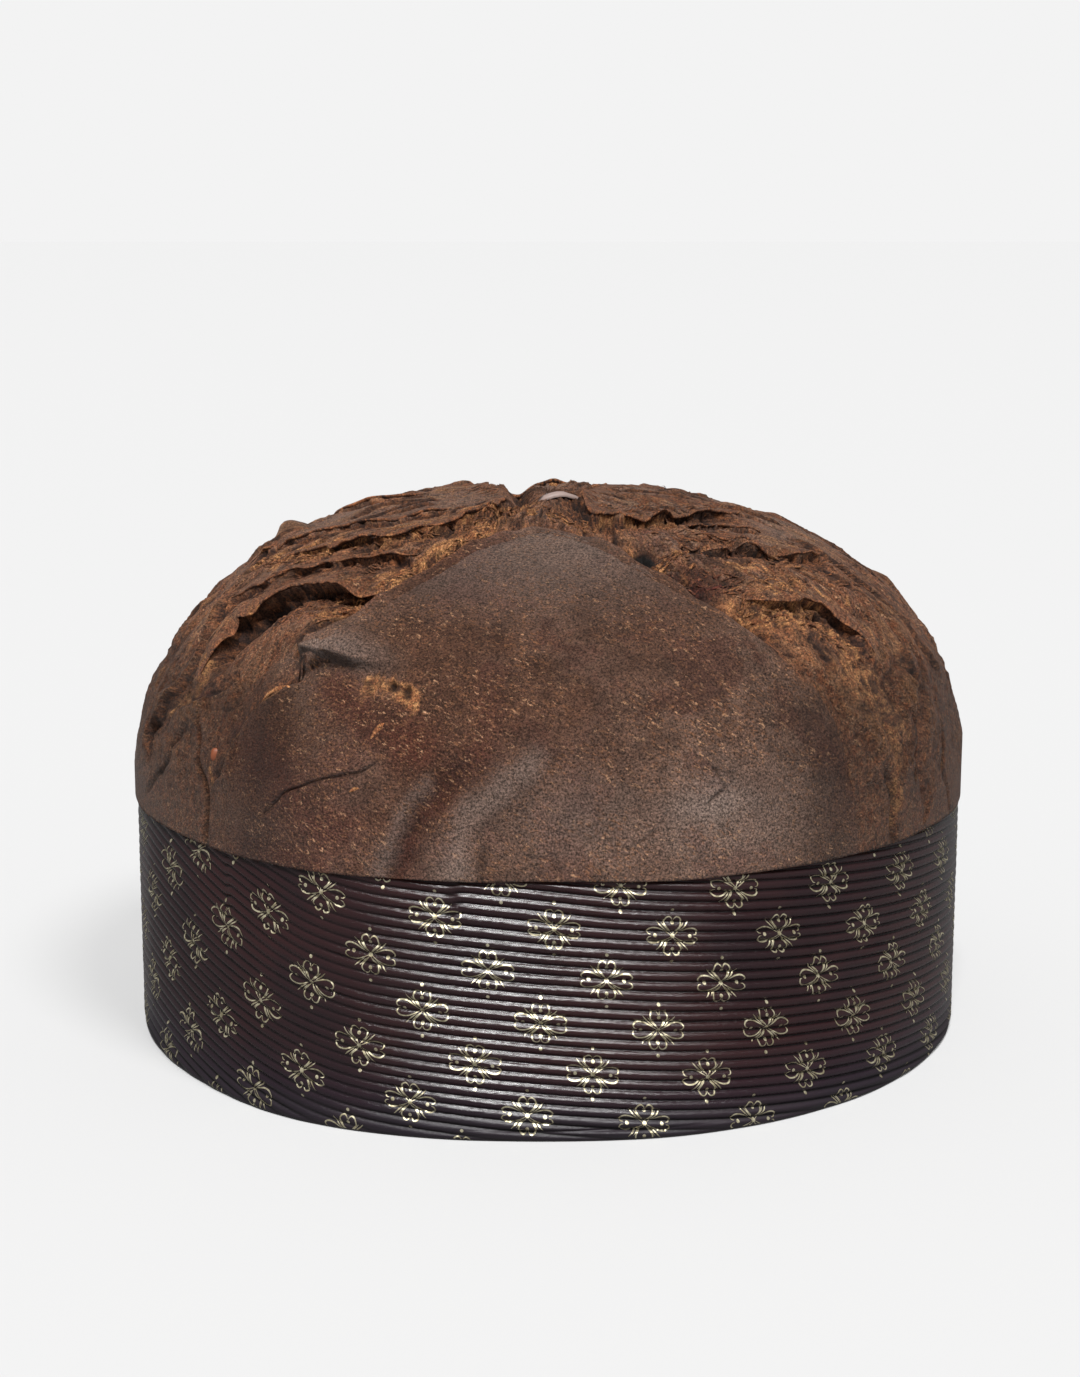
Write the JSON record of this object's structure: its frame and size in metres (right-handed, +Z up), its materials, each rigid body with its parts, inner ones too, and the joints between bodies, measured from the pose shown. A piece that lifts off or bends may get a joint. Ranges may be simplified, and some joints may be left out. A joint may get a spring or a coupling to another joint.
{
  "type": "panettone",
  "caption": "Low, wide domed sweet loaf with a scored and torn dark crust, still in its ribbed round paper baking case.",
  "frame": {"origin": "middle of the flat base, on the surface the case stands on", "axes": "+Z up, the scored front that shows is towards -Y, +X to the right seen from the front"},
  "size_m": [0.2118, 0.2092, 0.1368],
  "materials": {
    "case_paper": "satin dark aubergine-brown corrugated paper with a pale gold printed flower pattern",
    "crust": "matt dark chocolate-brown baked crust with lighter torn crumb"
  },
  "bodies": {
    "root": {"paper_case": "case_paper", "loaf": "crust"}
  },
  "joints": []
}
